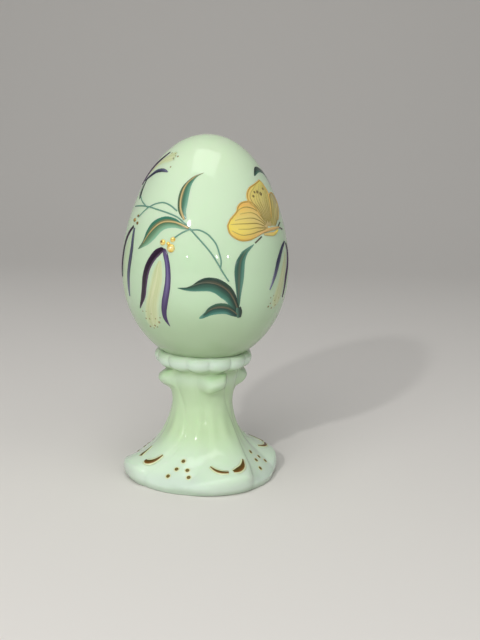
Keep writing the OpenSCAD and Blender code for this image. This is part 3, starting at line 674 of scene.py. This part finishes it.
settle(joinUp("leafUpright", paintLeaf("upright")), "egg", "green_enamel", "leaf_upright")
settle(joinUp("leafDrooping", paintLeaf("drooping", layer=0.02)), "egg", "green_enamel", "leaf_drooping")
tall = paintLeaf("tall")
tall.append(stroke([(37, 68, 0.3), (40.8, 68.9, 0.3), (43.6, 69.5, 0.2)], "ribDark", crown=0.03))
settle(joinUp("leafTall", tall), "egg", "green_enamel", "leaf_tall")
settle(joinUp("leafLong", paintLeaf("long", layer=0.03)), "egg", "green_enamel", "leaf_long")
short = paintLeaf("short", layer=0.05)
short.append(stroke([(25, 51.6, 1.2), (26, 50.2, 1.7), (26.8, 48.8, 1.0)], "leafDark", layer=0.06))
settle(joinUp("leafShort", short), "egg", "green_enamel", "leaf_short")
settle(joinUp("leafEdge", paintLeaf("right") + paintLeaf("left")), "egg", "green_enamel", "leaf_edge")
behind = paintLeaf("long", 146) + paintLeaf("upright", 165) + paintLeaf("upright", 250)
settle(joinUp("leavesBack", behind), "egg", "green_enamel", "leaves_back")
print("leaves painted")

stems = {"width": 0.27,
         "Upper": [[(-10, 71.8), (-15.5, 73.3), (-19.5, 74.2), (-27, 75), (-36.6, 75.6), (-48.4, 76.1),
                    (-60, 76), (-72, 75.5)],
                   [(-20.4, 75.7), (-26.5, 76.9), (-33.1, 77.5), (-39.5, 77.2), (-45, 76.5),
                    (-50.4, 75.4), (-55.4, 73.9), (-58, 73.1)],
                   [(-49.5, 75.9), (-55.7, 76.6), (-62, 77.4), (-66.4, 78.2)]],
         "Lower": [[(-9.6, 71.6), (-3.8, 69.5), (1.3, 67.5), (5.5, 65.6), (9.3, 63.4), (13.4, 60.7),
                    (17.2, 58.5)],
                   [(-9, 71.2), (-3.2, 71.3), (2.2, 70.5), (5.6, 69.4), (8.8, 67.8), (11.1, 65.2),
                    (12, 63.5), (11.6, 62)],
                   [(-9.4, 71.4), (-14.7, 70.4), (-20, 69)]],
         "Back": [[(-15 + s, 70.4), (-8 + s, 70.3), (-2 + s, 69), (10 + s, 63),
                   (16 + s, 60.4)] for s in (150, 220)]}
for place in ("Upper", "Lower", "Back"):
    laid = [stroke([(*p, stems["width"]) for p in line], "stem", crown=0.06, seed=n)
            for n, line in enumerate(stems[place])]
    settle(joinUp("stems" + place, laid), "egg", "green_enamel", "stems_" + place.lower())
buds = {"Front": (front["buds"], [0]),
        "Left": ({"goldBrown": [(-58.5, 73.4, 0.4, 0), (-62.4, 72.2, 0.55, 0), (-57, 71.6, 0.45, 0)]}, [0]),
        "Back": (front["buds"], [150, 220])}
for place, (drops, turns) in buds.items():
    laid = [drop(d, d[2], material, turn=turn, lift=d[3])
            for turn in turns for material, dropped in drops.items() for d in dropped]
    settle(joinUp("buds" + place, laid), "egg", "raised_gold", "buds_" + place.lower())
print("stems and buds painted")

butterfly = {"hind": ([(52, 72.4), (47.4, 74.7), (43.4, 77), (37.4, 78.3), (30.4, 78.1), (26.5, 77.2),
                       (24.6, 75.8), (19.6, 74.1), (17.3, 72.6)],
                      [(52.4, 71.2), (44.3, 70.4), (39.3, 69.7), (33.1, 68.9), (26.1, 68.8), (20.8, 69.7),
                       (18.2, 70.7), (17.4, 71.6), (17.2, 72.2)]),
             "fore": ([(50, 72), (45.6, 74.7), (41.9, 76.7), (37, 78.3), (36.8, 80), (41, 81.6),
                       (49.9, 82.6), (58.2, 83.4)],
                      [(56, 71.7), (58.7, 74.4), (61, 76.4), (63.5, 78.4), (65.2, 80.2), (63.8, 81.5),
                       (61.3, 82.8), (58.8, 83.4)]),
             "far": ([(55.5, 72), (58, 73.9), (60.5, 75.9), (63.5, 78.1), (66.6, 79.7)],
                     [(62, 71.7), (68.5, 73.2), (76, 75.4), (82, 77.4), (76, 79.9)]),
             "body": [("body", [(38, 69.6, 0.3), (44.4, 70.5, 0.55), (51, 71, 0.75), (58.8, 71.2, 0.7),
                                (67, 71.3, 0.4)]),
                      ("hindWing", [(46, 70, 0.3), (52, 69.9, 0.8), (58, 69.9, 0.8), (64, 70.6, 0.4)]),
                      ("ribDark", [(65.5, 71.4, 0.3), (68.5, 72, 0.25), (71.2, 72.4, 0.2)]),
                      ("ribDark", [(66, 71.2, 0.3), (69.5, 71, 0.25), (73, 70.6, 0.25)])],
             "spots": [(49.1, 80.6, 0.45), (52.6, 80.1, 0.55), (58.4, 81.3, 0.4), (42.9, 79.6, 0.4),
                       (45.4, 80.6, 0.35)],
             "veinWidth": 0.14,
             "rimWidth": 0.34}


def paintWing(name, wing, material, veins, node, marks=(), layer=0.0):
    one, two = butterfly[wing]
    parts = [patch(one, two, material, sides=24, layer=layer, crisp=20)]
    rim = [(*p, butterfly["rimWidth"]) for p in one[1:]] + [(*p, butterfly["rimWidth"]) for p in two[:0:-1]]
    parts.append(stroke(rim, "wingLine", crown=0.03, steps=80, layer=0.04 + layer))
    for n in range(1, veins):
        c = n / veins
        reach = 0.7 + 0.16 * math.sin(n * 2.1)
        line = [(*blend(along(one, t * reach), along(two, t * reach), c),
                 butterfly["veinWidth"] * (1.2 - t))
                for t in (0.1, 0.3, 0.5, 0.7, 1.0)]
        parts.append(stroke(line, "vein", crown=0.02, layer=0.05 + layer, seed=n))
    parts += [drop(m, m[2], "spot", flat=0.25, lift=0.06 + layer) for m in marks]
    settle(joinUp(name, parts), "egg", "yellow_enamel", node)


paintWing("butterflyHindwing", "hind", "hindWing", 7, "butterfly_hindwing")
paintWing("butterflyForewing", "fore", "foreWing", 9, "butterfly_forewing", butterfly["spots"], 0.05)
paintWing("butterflyFarWing", "far", "farWing", 4, "butterfly_far_wing")
body = [stroke(points, material, crown=0.08, layer=0.08) for material, points in butterfly["body"]]
settle(joinUp("butterflyBody", body), "egg", "yellow_enamel", "butterfly_body")
print("butterfly painted")

studio = {
    "floor": 1.8, "floorColour": "E2DED8", "floorRoughness": 0.9, "sweep": 0.5, "sweepSteps": 12,
    "aim": (0, 0, 0.05),
    "cameraPlace": (9.94, -276.24, 99.12), "pitch": 11.237, "roll": 1.728, "lens": 56.86,
    "lights": [  # name, azimuth, elevation, distance, size, watts, seen in the gloss
        ("spark", -24.5, 28.2, 0.63, 0.027, 1.05, True),
        ("pinLeft", 16.9, 9.8, 0.63, 0.013, 0.12, True),
        ("pinRight", 31.8, 9.3, 0.63, 0.01, 0.08, True),
        ("pinFar", -22.8, 8.5, 0.63, 0.007, 0.015, True),
        ("window", -14, 38, 0.8, 0.7, 3.3, False),
        ("fill", 50, 35, 0.9, 0.7, 0.9, False),
        ("top", -14, 80, 0.8, 0.5, 1.5, True)],
    "sky": "C8CCD0", "skyStrength": 0.25}


def setStudio():
    deselectAll()
    bpy.ops.mesh.primitive_plane_add(size=studio["floor"], location=(0, 0, 0))
    floor = bpy.context.object
    floor.name = "floor"
    bpy.ops.object.mode_set(mode="EDIT")  # the far edge turns up into a backdrop
    bpy.ops.mesh.select_all(action="DESELECT")
    bpy.ops.mesh.select_mode(type="EDGE")
    bpy.ops.object.mode_set(mode="OBJECT")
    for edge in floor.data.edges:
        edge.select = all(floor.data.vertices[v].co.y > 0 for v in edge.vertices)
    bpy.ops.object.mode_set(mode="EDIT")
    bpy.ops.mesh.extrude_region_move(TRANSFORM_OT_translate={"value": (0, 0, studio["floor"] / 2)})
    bpy.ops.object.mode_set(mode="OBJECT")
    bend = floor.modifiers.new("sweep", "BEVEL")
    bend.width = studio["sweep"]
    bend.segments = studio["sweepSteps"]
    bpy.ops.object.modifier_apply(modifier=bend.name)
    bpy.ops.object.shade_smooth()
    material, nodes, links, shader = newMaterial("paper")
    shader.inputs["Base Color"].default_value = ink(studio["floorColour"])
    shader.inputs["Roughness"].default_value = studio["floorRoughness"]
    floor.data.materials.append(material)

    centre = Vector(studio["aim"])
    for name, azimuth, elevation, distance, size, watts, shows in studio["lights"]:
        a, e = math.radians(azimuth), math.radians(elevation)
        toward = Vector((math.sin(a) * math.cos(e), -math.cos(a) * math.cos(e), math.sin(e)))
        light = bpy.data.lights.new(name, "AREA")
        light.size = size
        light.energy = watts
        lamp = bpy.data.objects.new(name, light)
        bpy.context.scene.collection.objects.link(lamp)
        lamp.location = centre + toward * distance
        lamp.rotation_euler = toward.to_track_quat("Z", "Y").to_euler()
        lamp.visible_glossy = shows
    world = bpy.data.worlds.new("sky")
    world.use_nodes = True
    sky = world.node_tree.nodes["Background"]
    sky.inputs["Color"].default_value = ink(studio["sky"])
    sky.inputs["Strength"].default_value = studio["skyStrength"]
    bpy.context.scene.world = world
    bpy.context.scene.view_settings.view_transform = "Standard"

    lens = bpy.data.cameras.new("camera")
    lens.lens = studio["lens"]
    lens.clip_start = 0.01
    camera = bpy.data.objects.new("camera", lens)
    bpy.context.scene.collection.objects.link(camera)
    tilt = Matrix.Rotation(math.radians(90 - studio["pitch"]), 4, "X")
    roll = Matrix.Rotation(math.radians(studio["roll"]), 4, "Z")
    camera.matrix_world = Matrix.Translation(Vector(studio["cameraPlace"]) * mm) @ tilt @ roll
    bpy.context.scene.camera = camera


setStudio()
print("studio set")
